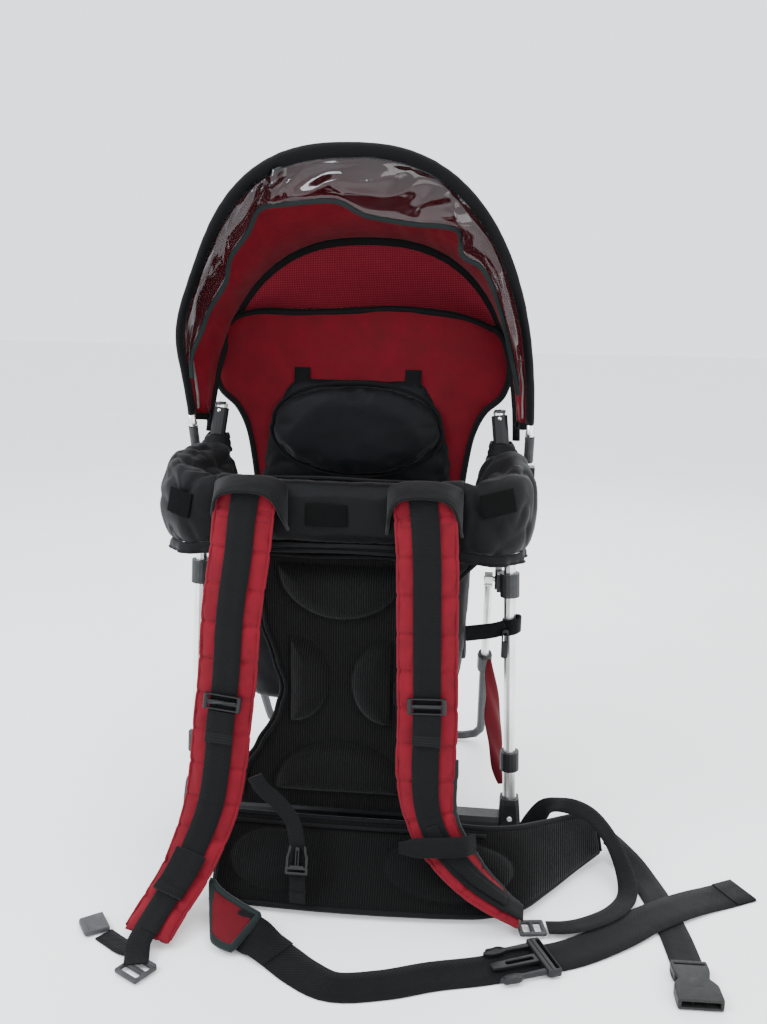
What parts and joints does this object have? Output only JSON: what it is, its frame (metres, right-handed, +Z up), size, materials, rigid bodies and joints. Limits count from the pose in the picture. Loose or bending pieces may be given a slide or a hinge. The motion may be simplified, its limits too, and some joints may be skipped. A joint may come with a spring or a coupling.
{
  "type": "baby carrier backpack",
  "caption": "Framed child-carrier backpack with padded cockpit, folding sun canopy, fold-out kickstand and a wearer's harness.",
  "frame": {"origin": "on the floor, at the middle of the base cross bar's underside", "axes": "+Z up; -Y out of the wearer's harness side; +X to the right as seen from that side"},
  "size_m": [0.8319, 0.695, 0.9203],
  "materials": {
    "silver_tube": "satin anodised tube",
    "black_plastic": "moulded nylon, fine grain",
    "grey_plastic": "moulded acetal, worn edges",
    "black_nylon": "plain woven nylon over padding",
    "spacer_mesh": "ribbed spacer mesh",
    "red_nylon": "plain woven nylon",
    "red_pad": "woven nylon over foam, quilted",
    "canopy_red": "light coated nylon",
    "canopy_mesh": "open knitted mesh",
    "clear_vinyl": "clear flexible vinyl, creased",
    "webbing": "woven polypropylene webbing"
  },
  "bodies": {
    "frame": {"side_tube_left": "silver_tube", "side_tube_right": "silver_tube", "lower_tube_left": "silver_tube", "lower_tube_right": "silver_tube", "pivot_pin_left": "silver_tube", "pivot_pin_right": "silver_tube", "cockpit_rail": "silver_tube", "collar_left": "black_plastic", "collar_right": "black_plastic", "knuckle_left": "black_plastic", "knuckle_right": "black_plastic", "post_sleeve_left": "black_plastic", "post_sleeve_right": "black_plastic", "bow_bracket_left": "black_plastic", "bow_bracket_right": "black_plastic", "cross_bar": "black_plastic", "back_board": "black_plastic", "buckle_male": "black_plastic", "sternum_buckle": "black_plastic", "strap_adjuster_left": "black_plastic", "strap_adjuster_right": "black_plastic", "pivot_bracket_left": "grey_plastic", "pivot_bracket_right": "grey_plastic", "buckle_female": "grey_plastic", "strap_clip_left": "grey_plastic", "bolster_left": "black_nylon", "bolster_right": "black_nylon", "bolster_front": "black_nylon", "head_pillow": "black_nylon", "seat_pouch": "black_nylon", "back_panel": "spacer_mesh", "hip_belt": "spacer_mesh", "seat_back": "red_nylon", "hip_wing_left": "red_nylon", "gusset_left": "red_nylon", "gusset_right": "red_nylon", "shoulder_pad_left": "red_pad", "shoulder_pad_right": "red_pad", "strap_webbing_left": "webbing", "strap_webbing_right": "webbing", "hip_webbing_wide": "webbing", "hip_webbing_narrow": "webbing", "strap_loop_right": "webbing", "strap_tail_left": "webbing", "sternum_webbing": "webbing", "child_harness": "webbing"},
    "kickstand": {"kick_hoop": "grey_plastic", "kick_leg_left": "silver_tube", "kick_leg_right": "silver_tube", "kick_foot_left": "black_plastic", "kick_foot_right": "black_plastic"},
    "mid_bow": {"mid_bow": "black_nylon", "canopy_rear": "canopy_mesh"},
    "front_bow": {"front_bow": "black_nylon", "canopy_front": "canopy_red", "rain_flap": "clear_vinyl", "bow_socket_left": "grey_plastic", "bow_socket_right": "grey_plastic"},
    "slider_left": {"strap_slider_left": "black_plastic"},
    "slider_right": {"strap_slider_right": "black_plastic"}
  },
  "joints": [
    {"name": "kickstand_fold", "type": "hinge", "parent": "frame", "child": "kickstand", "pos_m": [0, 0.026, 0.378], "axis": [1, 0, 0], "range_deg": [-39, 0]},
    {"name": "mid_bow_fold", "type": "hinge", "parent": "frame", "child": "mid_bow", "pos_m": [0, 0.05, 0.536], "axis": [1, 0, 0], "range_deg": [-28, 0], "deforming": ["canopy_rear"]},
    {"name": "front_bow_fold", "type": "hinge", "parent": "mid_bow", "child": "front_bow", "pos_m": [0, 0.05, 0.536], "axis": [1, 0, 0], "range_deg": [-28, 0], "deforming": ["canopy_front", "rain_flap"]},
    {"name": "slider_left_slide", "type": "slide", "parent": "frame", "child": "slider_left", "axis": [0.1178, 0, 0.993], "range_m": [-0.04, 0.04]},
    {"name": "slider_right_slide", "type": "slide", "parent": "frame", "child": "slider_right", "axis": [-0.0281, 0, 0.9996], "range_m": [-0.04, 0.04]}
  ],
  "couplings": [
    {"joint": "front_bow_fold", "follows": "mid_bow_fold", "ratio": 1}
  ]
}
